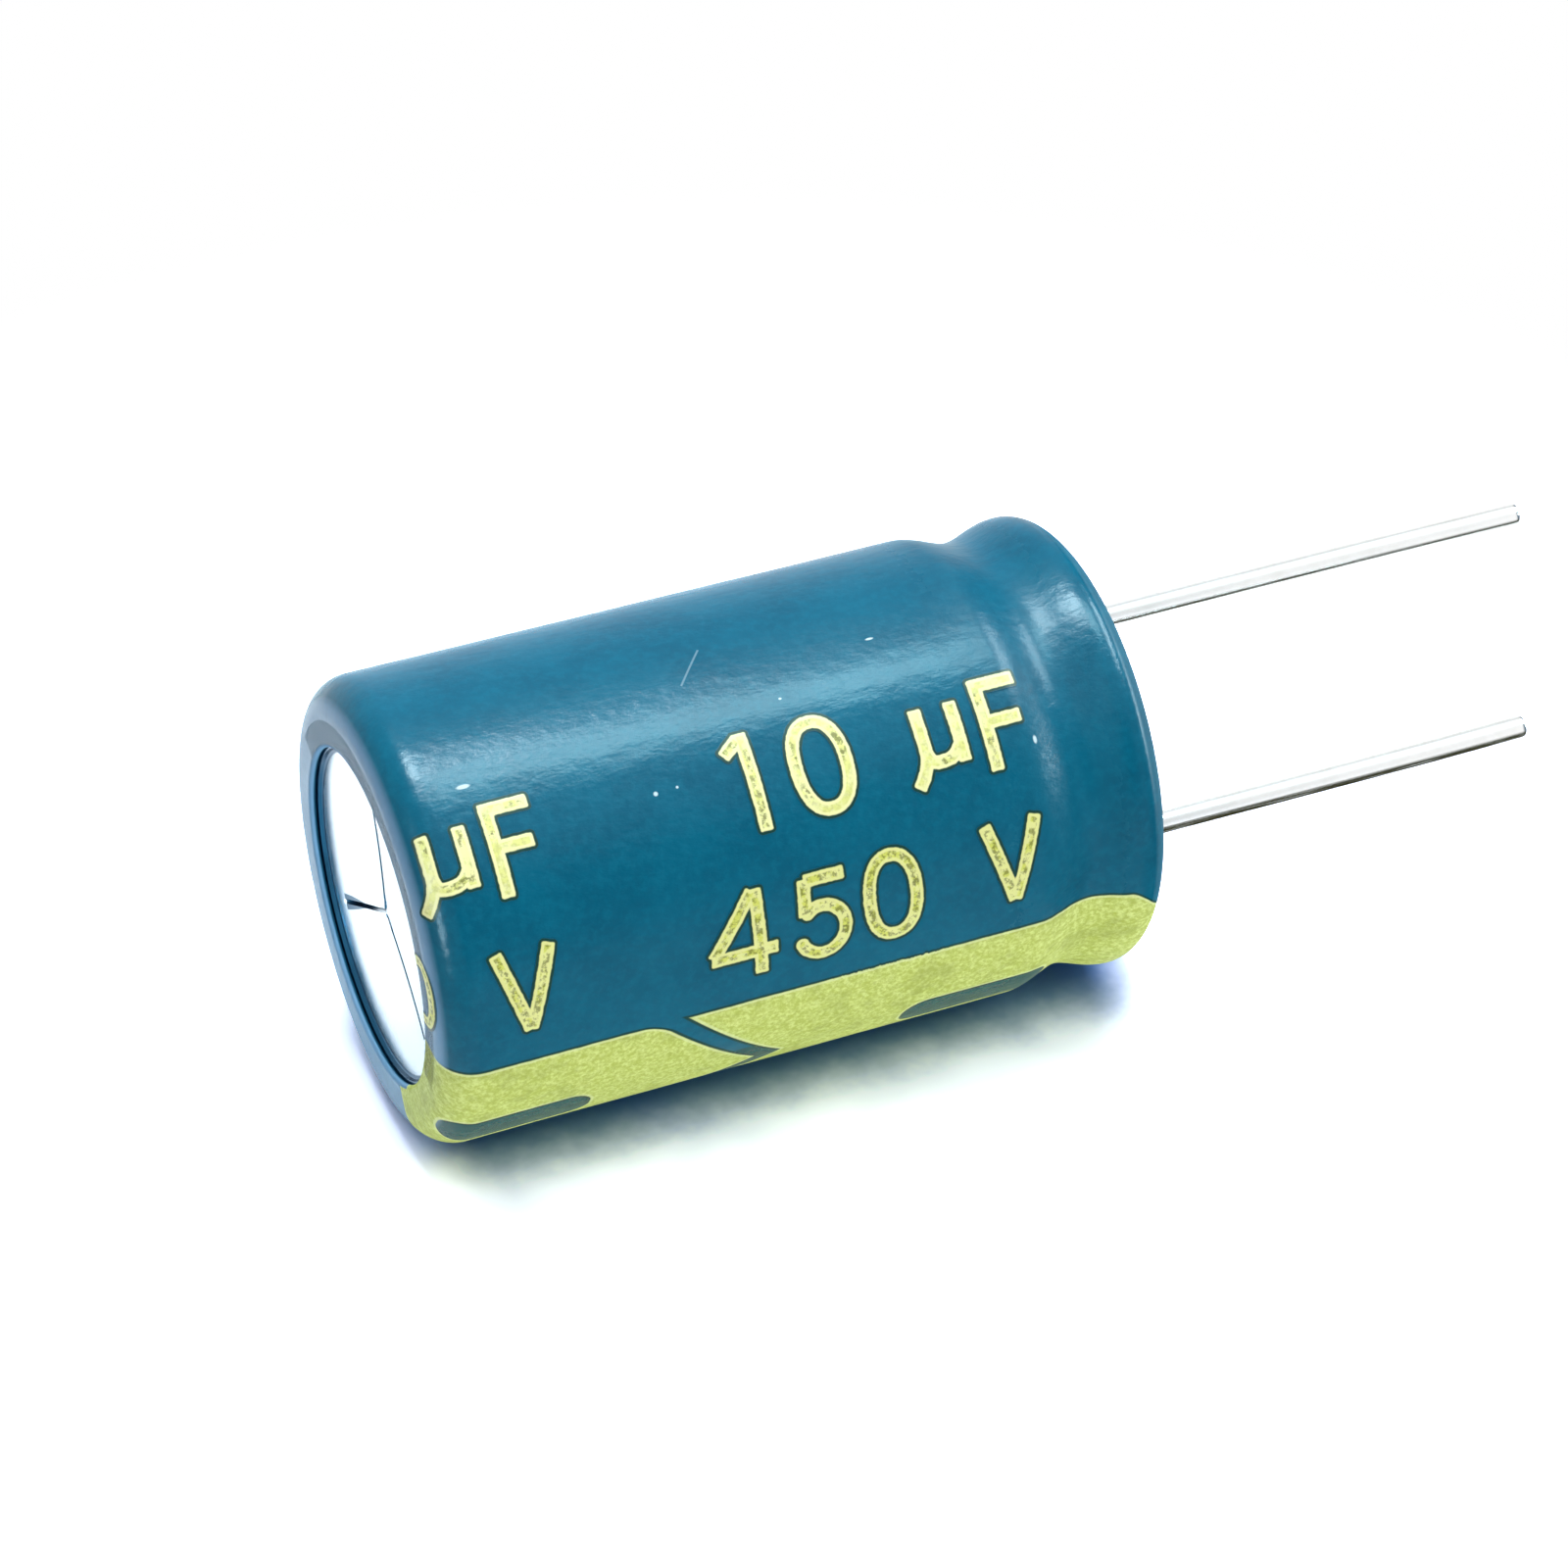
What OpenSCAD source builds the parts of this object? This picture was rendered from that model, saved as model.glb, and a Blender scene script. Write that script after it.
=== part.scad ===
// Radial aluminium electrolytic capacitor, standing on its vent end.
// The axis is Z, the two leads point up and lie on X: anode at -X, cathode at +X.

/* [Can] */
// Outer diameter of the aluminium can
can_d = 9.68; // [9.4:0.02:12.6]
// Height of the can, from its closed end to the top of its curled rim
can_l = 15.78; // [14:0.1:25]
// Thickness of the drawn side wall
can_wall = 0.25; // [0.2:0.01:0.3]
// Thickness of the closed end
end_wall = 0.4; // [0.3:0.05:0.6]
// Outside radius where the wall turns into the closed end
shoulder_r = 0.65; // [0.4:0.05:0.9]

/* [Vent] */
// How far the edge of the sunken vent panel lies inside the sleeve's opening
vent_inset = 0.1; // [0.05:0.05:0.5]
// Height of the step round the panel
vent_step = 0.1; // [0.05:0.01:0.2]
// How much deeper the middle of the panel lies than its edge
vent_dish = 0.18; // [0.05:0.01:0.3]
// Width of the three scored lines
score_w = 0.1; // [0.06:0.01:0.2]
// Depth of the scored lines
score_h = 0.15; // [0.05:0.01:0.25]
// Plain metal left between the end of a scored line and the panel's edge
score_gap = 0.6; // [0.3:0.1:1.5]
// Turn of the scored star about the axis
score_turn = 1; // [-60:1:60]

/* [Bead and curl] */
// Distance from the top of the rim down to the middle of the bead groove
bead_drop = 1.65; // [1.6:0.01:2.2]
// Width of the bead groove
bead_w = 2.5; // [1.6:0.05:2.5]
// Depth of the bead groove in the can
bead_h = 0.6; // [0.4:0.02:0.9]
// How much smaller the rim's radius is than the can's
rim_inset = 0.04; // [0:0.01:0.1]
// Outer radius of the curled rim
curl_r = 0.4; // [0.35:0.01:0.45]
// How far the curl's tip bites down into the rubber
curl_bite = 0.12; // [0.05:0.01:0.2]

/* [Sleeve] */
// Thickness of the shrunk plastic sleeve
sleeve_t = 0.15; // [0.08:0.01:0.2]
// Width of the flat lip that the sleeve turns in over the closed end
vent_lip_w = 0.59; // [0.2:0.01:0.9]
// Width of the flat lip that the sleeve turns in over the curled rim
lead_lip_w = 0.7; // [0.5:0.01:1]
// How far the sleeve is drawn into the bead groove
sleeve_dip = 0.3; // [0.05:0.01:0.38]

/* [Bung] */
// Length of the rubber bung
bung_l = 3; // [2.9:0.1:4]
// How far the bung's face lies below the top of the rim
bung_sink = 0.2; // [0.05:0.01:0.25]
// Chamfer round the bung's inner end
bung_chamfer = 0.3; // [0.1:0.05:0.4]
// Depth of the dimple where each wire comes out
dimple_h = 0.15; // [0.05:0.01:0.3]

/* [Leads] */
// Distance between the two wires
lead_pitch = 5; // [4.5:0.1:5.2]
// Diameter of the tinned wires
wire_d = 0.5; // [0.4:0.05:0.7]
// How much thicker each wire is at the welded end of its tapered root
root_extra = 0.1; // [0.05:0.01:0.2]
// Length of the anode wire beyond the rim
anode_l = 12.1; // [3:0.1:35]
// Length of the cathode wire beyond the rim
cathode_l = 10; // [3:0.1:30]
// Diameter of the aluminium stems in the bung
stem_d = 1.4; // [1:0.1:1.6]
// Rubber left over the end of each stem
stem_cover = 0.85; // [0.5:0.05:1.2]
// Width of the flattened blades stitched to the foils
blade_w = 1.9; // [1.5:0.1:2.1]
// Thickness of the flattened blades
blade_t = 0.2; // [0.15:0.01:0.22]

/* [Winding] */
// Radius of the hole left by the winding pin
core_r = 0.9; // [0.7:0.05:1.1]
// Thickness of the etched anode foil
anode_foil_t = 0.11; // [0.09:0.01:0.12]
// Thickness of the cathode foil
cathode_foil_t = 0.06; // [0.04:0.01:0.07]
// Thickness of each paper separator
paper_t = 0.05; // [0.04:0.01:0.06]
// Room for a blade between two turns
tab_room = 0.28; // [0.28:0.01:0.32]
// How far the paper stands past the foils at each end
paper_over = 0.5; // [0.3:0.05:0.8]
// Gap between the winding and the bung
head_room = 0.6; // [0.4:0.05:1]
// Least gap between the winding and the can's wall
wind_clear = 0.15; // [0.1:0.01:0.3]
// Thickness of the closing tape
tape_t = 0.05; // [0.04:0.01:0.08]
// Width of the closing tape
tape_w = 8; // [4:0.5:9]

/* [Fits] */
// Clearance between pieces that touch
fit_gap = 0.01; // [0.005:0.001:0.012]

/* [Hidden] */
$fn = 96;
// Points in a quarter arc, along the bead groove and across the vent panel
ARC_N = 8;
BEAD_N = 18;
DISH_N = 6;
// Power that gives the bead groove its broad floor
BEAD_POWER = 0.6;
// One turn of a foil is drawn with this angle between its points
WIND_STEP = 15;
// Angle kept free beside a blade before a turn climbs over it
BLADE_MARGIN = 10;
// How far a cutter runs past the surface that it opens
CUT_OVER = 0.5;

can_r = can_d / 2;
rim_r = can_r - rim_inset;
sleeve_gap = sleeve_t + fit_gap;
can_z = sleeve_gap;
can_top = can_z + can_l;
body_l = can_top + sleeve_gap;
bead_z = can_top - bead_drop;
curl_z = can_top - curl_r;
curl_x = rim_r - curl_r;
inner_corner = shoulder_r - can_wall;
vent_open_r = can_r - shoulder_r - vent_lip_w;
lead_open_r = curl_x - lead_lip_w;
vent_r = vent_open_r - vent_inset;
score_l = vent_r - score_gap;
floor_z = can_z + vent_step + vent_dish + end_wall + fit_gap;

bung_top = can_top - bung_sink;
bung_z = bung_top - bung_l;
bung_step_z = curl_z - curl_bite - fit_gap;
stem_top = bung_top - stem_cover;
root_d = wire_d + root_extra;

paper_l = bung_z - head_room - floor_z;
foil_z = floor_z + paper_over;
foil_l = paper_l - 2 * paper_over;
stem_z = floor_z + paper_l + fit_gap;

// Each turn is a stack: inner paper, anode foil, outer paper, cathode foil
anode_off = paper_t + fit_gap;
outer_paper_off = anode_off + anode_foil_t + fit_gap;
cathode_off = outer_paper_off + paper_t + fit_gap;
turn_t = cathode_off + cathode_foil_t + fit_gap;
anode_face = anode_off + anode_foil_t;
cathode_face = cathode_off + cathode_foil_t;
wind_room = can_r - can_wall - wind_clear - tape_t - core_r - tab_room;
turns = floor(wind_room / turn_t) - 1;
wind_end = 360 * turns;
wind_r = core_r + tab_room + (turns + 1) * turn_t;
// The anode blade lies where the anode foil's face has climbed to the wire's own radius
anode_theta = 360 * (lead_pitch / 2 - tab_room / 2 - core_r - anode_face) / turn_t;
cathode_theta = anode_theta - 180;
wind_start = 180 - anode_theta;
anode_blade_r = lead_pitch / 2;
cathode_blade_r = core_r + turn_t * cathode_theta / 360 + cathode_face + tab_room / 2;
blade_angle = blade_w / lead_pitch * 360 / PI;
ramp_from = blade_angle / 2 + BLADE_MARGIN;
ramp_l = 180 - 2 * ramp_from;
anode_climb = anode_theta + ramp_from;
cathode_climb = cathode_theta + ramp_from;

function clamp01(x) = min(1, max(0, x));
function reversed(list) = [for (i = [len(list) - 1:-1:0]) list[i]];
function polar(r, a) = [r * cos(a), r * sin(a)];
function arc(x, z, r, a0, a1) = [for (i = [0:ARC_N]) [x, z] + polar(r, a0 + (a1 - a0) * i / ARC_N)];

// Heights of the points along the bead groove
bead_heights = [for (i = [0:BEAD_N]) bead_z - bead_w / 2 + bead_w * i / BEAD_N];
// Share of the full depth of the groove at a height, 1 in the middle and 0 at both edges
function bead_share(z) =
    abs(z - bead_z) >= bead_w / 2 ? 0 : pow((1 + cos(360 * (z - bead_z) / bead_w)) / 2, BEAD_POWER);
// Radius of the can at a height along the groove, drawn in by depth
function bead_radius(z, depth) =
    can_r - (can_r - rim_r) * clamp01((z - bead_z) / bead_w + 0.5) - depth * bead_share(z);
function bead_line(depth, outset) = [for (z = bead_heights) [bead_radius(z, depth) + outset, z]];

// Radius of a wire's root at a height, tapering from the stem to the rim
function root_radius(z) =
    root_d / 2 - root_extra / 2 * clamp01((z - stem_top) / (body_l - stem_top));

// The vent panel is a shallow dish below its step
function dish_z(r) = can_z + vent_step + vent_dish * (1 - pow(r / vent_r, 2));
dish_radii = [for (i = [0:DISH_N]) vent_r * i / DISH_N];

// Radius of one face of a strip at an angle of the winding, with its climb over the blades
function strip_r(theta, off, climb_at) =
    core_r + turn_t * theta / 360 + off + tab_room * clamp01((theta - climb_at) / ramp_l);
function strip_line(off, climb_at) =
    [for (theta = [0:WIND_STEP:wind_end]) polar(strip_r(theta, off, climb_at), wind_start + theta)];

module sleeve() {
    shoulder = shoulder_r + sleeve_gap;
    rim = curl_r + sleeve_gap;
    shoulder_x = can_r - shoulder_r;
    shoulder_z = can_z + shoulder_r;
    outer = concat(
        [[vent_open_r, 0]],
        arc(shoulder_x, shoulder_z, shoulder, -90, 0),
        bead_line(sleeve_dip, sleeve_gap),
        arc(curl_x, curl_z, rim, 0, 90),
        [[lead_open_r, body_l]]);
    inner = concat(
        [[vent_open_r, sleeve_t]],
        arc(shoulder_x, shoulder_z, shoulder - sleeve_t, -90, 0),
        bead_line(sleeve_dip, fit_gap),
        arc(curl_x, curl_z, rim - sleeve_t, 0, 90),
        [[lead_open_r, body_l - sleeve_t]]);
    color("#1f6f8c")
        rotate_extrude()
            polygon(concat(outer, reversed(inner)));
}

module can_shell() {
    outer = concat(
        [for (r = dish_radii) [r, dish_z(r)]],
        [[vent_r + vent_step / 2, can_z]],
        arc(can_r - shoulder_r, can_z + shoulder_r, shoulder_r, -90, 0),
        bead_line(bead_h, 0),
        arc(curl_x, curl_z, curl_r, 0, 180),
        [[curl_x - curl_r, curl_z - curl_bite], [curl_x - curl_r + can_wall, curl_z - curl_bite]]);
    inner = concat(
        [for (r = dish_radii) [r, dish_z(r) + end_wall]],
        [[vent_r + vent_step / 2, can_z + end_wall]],
        arc(can_r - shoulder_r, can_z + end_wall + inner_corner, inner_corner, -90, 0),
        bead_line(bead_h, -can_wall),
        arc(curl_x, curl_z, curl_r - can_wall, 0, 180));
    rotate_extrude()
        polygon(concat(outer, reversed(inner)));
}

// One scored line: a slot whose floor runs parallel to the dished panel
module score_line() {
    floor_points = [for (i = [0:DISH_N]) let (r = score_l * i / DISH_N) [r, dish_z(r) + score_h]];
    rotate([90, 0, 0])
        translate([0, 0, -score_w / 2])
            linear_extrude(score_w)
                polygon(concat([[0, can_z - CUT_OVER]], floor_points, [[score_l, can_z - CUT_OVER]]));
}

module can() {
    color("#d9dcde")
        difference() {
            can_shell();
            for (i = [0:2])
                rotate([0, 0, score_turn + 120 * i])
                    score_line();
        }
}

module bung() {
    outset = -can_wall - fit_gap;
    side = [for (point = bead_line(bead_h, outset)) if (point[1] < bung_step_z) point];
    plateau_r = curl_x - curl_r - fit_gap;
    dimple_z = bung_top - dimple_h;
    dimple_r = root_radius(dimple_z) + fit_gap;
    color("#2b2b2e")
        difference() {
            rotate_extrude()
                polygon(concat(
                    [[0, bung_z], [side[0][0] - bung_chamfer, bung_z], [side[0][0], bung_z + bung_chamfer]],
                    side,
                    [[bead_radius(bung_step_z, bead_h) + outset, bung_step_z], [plateau_r, bung_step_z],
                     [plateau_r, bung_top], [0, bung_top]]));
            for (x = [-1, 1])
                translate([x * lead_pitch / 2, 0, 0]) {
                    translate([0, 0, bung_z - CUT_OVER])
                        cylinder(d = stem_d + 2 * fit_gap, h = stem_top + fit_gap - bung_z + CUT_OVER);
                    translate([0, 0, stem_top])
                        cylinder(r1 = root_d / 2 + fit_gap, r2 = dimple_r, h = dimple_z - stem_top);
                    translate([0, 0, dimple_z])
                        cylinder(r1 = dimple_r, r2 = dimple_r + 2 * dimple_h, h = dimple_h + fit_gap);
                }
        }
}

// A tinned wire: a root that tapers from the stem up to the rim, and the free wire above it
module lead(x, free_l) {
    translate([x, 0, 0])
        rotate_extrude()
            polygon([[0, stem_top], [root_d / 2, stem_top], [wire_d / 2, body_l],
                     [wire_d / 2, body_l + free_l], [0, body_l + free_l]]);
}

module anode_lead() color("#c8c8c4") lead(-lead_pitch / 2, anode_l);

module cathode_lead() color("#c8c8c4") lead(lead_pitch / 2, cathode_l);

// An aluminium stem whose lower end is rolled flat and curved to lie between two turns
module tab(x, blade_r, facing) {
    color("#bfc3c7") {
        translate([x, 0, stem_z])
            cylinder(d = stem_d, h = stem_top - stem_z);
        rotate([0, 0, facing - blade_angle / 2])
            rotate_extrude(angle = blade_angle)
                translate([blade_r - blade_t / 2, foil_z])
                    square([blade_t, stem_z + stem_d / 4 - foil_z]);
    }
}

module anode_tab() tab(-lead_pitch / 2, anode_blade_r, 180);

module cathode_tab() tab(lead_pitch / 2, cathode_blade_r, 0);

// One wound strip, from its inner face outwards
module strip(off, thickness, climb_at, z, height) {
    translate([0, 0, z])
        linear_extrude(height)
            polygon(concat(strip_line(off, climb_at), reversed(strip_line(off + thickness, climb_at))));
}

module separator_inner() color("#e6dcc4") strip(0, paper_t, anode_climb, floor_z, paper_l);

module anode_foil() color("#a9adb2") strip(anode_off, anode_foil_t, anode_climb, foil_z, foil_l);

module separator_outer() color("#e6dcc4") strip(outer_paper_off, paper_t, cathode_climb, floor_z, paper_l);

module cathode_foil() color("#c5c8cc") strip(cathode_off, cathode_foil_t, cathode_climb, foil_z, foil_l);

module closing_tape() {
    color("#d9c684")
        translate([0, 0, foil_z + (foil_l - tape_w) / 2])
            difference() {
                cylinder(r = wind_r + tape_t, h = tape_w);
                translate([0, 0, -CUT_OVER])
                    cylinder(r = wind_r, h = tape_w + 2 * CUT_OVER);
            }
}

sleeve();
can();
bung();
anode_lead();
cathode_lead();
anode_tab();
cathode_tab();
anode_foil();
cathode_foil();
separator_inner();
separator_outer();
closing_tape();
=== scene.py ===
"""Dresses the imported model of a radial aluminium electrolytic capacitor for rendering.

The part stands on its vent end with its axis on Z. Shapes are worked out in millimetres and
written to the meshes in metres. The camera lies on its side, because the photographed part
rolls on its sleeve.
"""
import math

import bpy
import numpy as np
from mathutils import Matrix, Vector


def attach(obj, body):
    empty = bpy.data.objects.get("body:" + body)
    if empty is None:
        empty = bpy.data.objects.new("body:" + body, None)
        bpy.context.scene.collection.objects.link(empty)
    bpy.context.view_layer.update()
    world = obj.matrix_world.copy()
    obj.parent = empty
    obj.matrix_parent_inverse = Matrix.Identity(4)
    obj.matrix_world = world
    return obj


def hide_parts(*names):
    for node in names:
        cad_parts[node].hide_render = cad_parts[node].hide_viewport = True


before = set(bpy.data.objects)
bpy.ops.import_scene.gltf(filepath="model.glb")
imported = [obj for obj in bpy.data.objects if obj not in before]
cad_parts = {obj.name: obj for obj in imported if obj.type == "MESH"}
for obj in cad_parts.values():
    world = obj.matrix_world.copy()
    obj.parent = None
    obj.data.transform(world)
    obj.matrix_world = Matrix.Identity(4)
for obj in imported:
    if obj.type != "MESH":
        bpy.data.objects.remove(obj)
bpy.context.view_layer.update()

MM = 0.001
BODY = "root"

# Sizes of the part in millimetres, as in its source
CAN_R = 4.84
CAN_Z = 0.16
CAN_TOP = 15.94
CAN_WALL = 0.25
END_WALL = 0.4
SHOULDER_R = 0.65
RIM_INSET = 0.04
CURL_R = 0.4
CURL_BITE = 0.12
BEAD_Z = CAN_TOP - 1.65
BEAD_W = 2.5
BEAD_H = 0.6
BEAD_POWER = 0.6
SLEEVE_T = 0.15
SLEEVE_DIP = 0.3
FIT_GAP = 0.01
SLEEVE_GAP = SLEEVE_T + FIT_GAP
SLEEVE_R = CAN_R + SLEEVE_GAP
VENT_OPEN_R = 3.6
LEAD_OPEN_R = 3.7
VENT_R = 3.5
VENT_STEP = 0.1
VENT_DISH = 0.18
SCORE_H = 0.15
SCORE_L = 2.9
SCORE_HALF_W = 0.055
SCORE_FLANK = 0.035
SCORE_TURN = 1.0
SCORE_COUNT = 3
BODY_L = CAN_TOP + SLEEVE_GAP
CURL_Z = CAN_TOP - CURL_R
CURL_X = CAN_R - RIM_INSET - CURL_R
BUNG_TOP = CAN_TOP - 0.2
BUNG_Z = BUNG_TOP - 3.0
BUNG_CHAMFER = 0.3
DIMPLE_H = 0.15
DIMPLE_FLOOR_R = 0.30
STEM_TOP = BUNG_TOP - 0.85
LEAD_X = 2.5
WIRE_R = 0.25
ROOT_R = 0.3
ANODE_L = 12.1
CATHODE_L = 10.0

# About half way up the can: the lamps aim at this height, the table lies round it, and the camera's aim
# pixel shows it
MIDDLE_Z = 8.0


def arc(centre, radius, start, end, count):
    """Points (r, z) on a circle: centre + radius * (cos a, sin a) for even angles a in degrees."""
    angle = np.radians(np.linspace(start, end, count))
    return np.stack([centre[0] + radius * np.cos(angle), centre[1] + radius * np.sin(angle)], axis=1)


def line(start, end, count):
    """Even points on the straight from start to end."""
    share = np.linspace(0.0, 1.0, count)[:, None]
    return np.asarray(start) * (1.0 - share) + np.asarray(end) * share


def joined(*parts):
    """The parts one after another, without a point that repeats the one before it."""
    points = np.concatenate([np.asarray(part, float) for part in parts])
    step = np.linalg.norm(np.diff(points, axis=0), axis=1)
    return points[np.concatenate([[True], step > 1e-6])]


def lengths(points):
    """Running length of a line through its points."""
    return np.concatenate([[0.0], np.cumsum(np.linalg.norm(np.diff(points, axis=0), axis=1))])


def groove(depth, outset, count, power=BEAD_POWER):
    """Points along the bead groove: radius eased from the can to its rim, less depth times a raised
    cosine to a power, plus outset."""
    z = np.linspace(BEAD_Z - BEAD_W / 2, BEAD_Z + BEAD_W / 2, count)
    share = (1 + np.cos(2 * np.pi * (z - BEAD_Z) / BEAD_W)) / 2
    ease = np.clip((z - BEAD_Z) / BEAD_W + 0.5, 0, 1)
    ease = ease * ease * (3 - 2 * ease)
    radius = CAN_R - RIM_INSET * ease - depth * np.clip(share, 0, 1) ** power + outset
    return np.stack([radius, z], axis=1)


def film_line(outset):
    """One face of the shrunk film from lip to lip, at a distance from the can: flat lip, shoulder arc,
    side, groove, rim arc and flat lip."""
    shoulder = (CAN_R - SHOULDER_R, CAN_Z + SHOULDER_R)
    low = CAN_Z - outset
    high = CAN_TOP + outset
    nose = SLEEVE_T / 2
    side_r = CAN_R + outset
    return joined(
        line((VENT_OPEN_R + nose, low), (shoulder[0], low), 8),
        arc(shoulder, SHOULDER_R + outset, -90, 0, 28),
        line((side_r, shoulder[1]), (side_r, BEAD_Z - BEAD_W / 2), 54),
        groove(SLEEVE_DIP, outset, 56, 1.0),
        arc((CURL_X, CURL_Z), CURL_R + outset, 0, 90, 28),
        line((CURL_X, high), (LEAD_OPEN_R + nose, high), 8))


FILM = film_line(SLEEVE_GAP)
# Length along the film, which equals the height on the straight side
FILM_S = lengths(FILM)
FILM_S += CAN_Z + SHOULDER_R - np.interp(CAN_Z + SHOULDER_R + 1e-6, FILM[:, 1], FILM_S)


def turned(profile, columns):
    """A profile of (r, z) points turned about Z: x = r cos a, y = r sin a. Rows follow the profile."""
    angle = np.linspace(-np.pi, np.pi, columns, endpoint=False)
    r = profile[:, 0][:, None]
    z = np.broadcast_to(profile[:, 1][:, None], (len(profile), columns))
    return np.stack([r * np.cos(angle), r * np.sin(angle), z], axis=2)


def signed_volume(points, faces):
    """Volume inside the faces, positive when they point outwards: sum of (a x b) . c / 6 over triangles."""
    a, b, c, d = (points[faces[:, i]] for i in range(4))
    first = np.einsum("ij,ij->i", np.cross(a, b), c)
    second = np.einsum("ij,ij->i", np.cross(a, c), d)
    return (first + second).sum() / 6


def make_mesh(name, points, faces, uv=None, smooth_angle=40.0):
    """A mesh object from points in millimetres and four-cornered faces. A face that repeats a corner
    becomes a triangle. The faces are turned round if they enclose a negative volume."""
    faces = np.asarray(faces)
    if signed_volume(points, faces) < 0:
        faces = faces[:, ::-1]
        uv = None if uv is None else uv[:, ::-1]
    corner_next = np.roll(faces, -1, axis=1)
    kept = faces != corner_next
    count = kept.sum(axis=1)
    whole = count >= 3
    faces, kept, count = faces[whole], kept[whole], count[whole]
    used, inverse = np.unique(faces, return_inverse=True)
    loops = inverse.reshape(faces.shape)[kept]
    mesh = bpy.data.meshes.new(name)
    mesh.vertices.add(len(used))
    mesh.vertices.foreach_set("co", (points[used] * MM).astype(np.float32).ravel())
    mesh.loops.add(len(loops))
    mesh.loops.foreach_set("vertex_index", loops.astype(np.int32))
    mesh.polygons.add(len(count))
    starts = np.concatenate([[0], np.cumsum(count)[:-1]])
    mesh.polygons.foreach_set("loop_start", starts.astype(np.int32))
    mesh.polygons.foreach_set("use_smooth", np.ones(len(count), bool))
    mesh.update(calc_edges=True)
    if uv is not None:
        layer = mesh.uv_layers.new(name="lay")
        layer.uv.foreach_set("vector", uv[whole][kept].astype(np.float32).ravel())
    mesh.validate()
    mesh.set_sharp_from_angle(angle=math.radians(smooth_angle))
    piece = bpy.data.objects.new(name, mesh)
    bpy.context.scene.collection.objects.link(piece)
    return piece


def grid_faces(rows, columns, wrap_rows, wrap_columns, poles=()):
    """Corner numbers of the faces between neighbours of a grid. A pole row counts as one point."""
    index = np.arange(rows * columns).reshape(rows, columns)
    for row in poles:
        index[row] = index[row, 0]
    if wrap_rows:
        index = np.concatenate([index, index[:1]])
    if wrap_columns:
        index = np.concatenate([index, index[:, :1]], axis=1)
    corners = [index[:-1, :-1], index[:-1, 1:], index[1:, 1:], index[1:, :-1]]
    return np.stack(corners, axis=2).reshape(-1, 4)


def grid_uv(u, v):
    """Corner places for the same faces, from u at each column edge and v at each row edge."""
    u, v = np.meshgrid(u, v)
    place = np.stack([u, v], axis=2)
    corners = [place[:-1, :-1], place[:-1, 1:], place[1:, 1:], place[1:, :-1]]
    return np.stack(corners, axis=2).reshape(-1, 4, 2)


# Shader expressions

class Reading:
    """A socket whose operators add Math nodes to the tree that it is in."""

    def __init__(self, finish, socket):
        self.finish = finish
        self.socket = socket

    def math(self, operation, *values):
        return self.finish.node("ShaderNodeMath", {"operation": operation}, dict(enumerate(values)))

    def __add__(self, other):
        return self.math("ADD", self, other)

    def __radd__(self, other):
        return self.math("ADD", other, self)

    def __sub__(self, other):
        return self.math("SUBTRACT", self, other)

    def __rsub__(self, other):
        return self.math("SUBTRACT", other, self)

    def __mul__(self, other):
        return self.math("MULTIPLY", self, other)

    def __rmul__(self, other):
        return self.math("MULTIPLY", other, self)

    def __truediv__(self, other):
        return self.math("DIVIDE", self, other)

    def __abs__(self):
        return self.math("ABSOLUTE", self)

    def least(self, other):
        return self.math("MINIMUM", self, other)

    def most(self, other):
        return self.math("MAXIMUM", self, other)

    def root(self):
        return self.math("SQRT", self)

    def rise(self, low, high):
        """0 below low, 1 above high and smooth between."""
        return self.finish.node("ShaderNodeMapRange", {"interpolation_type": "SMOOTHSTEP"},
                                {"Value": self, "From Min": low, "From Max": high})


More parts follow.
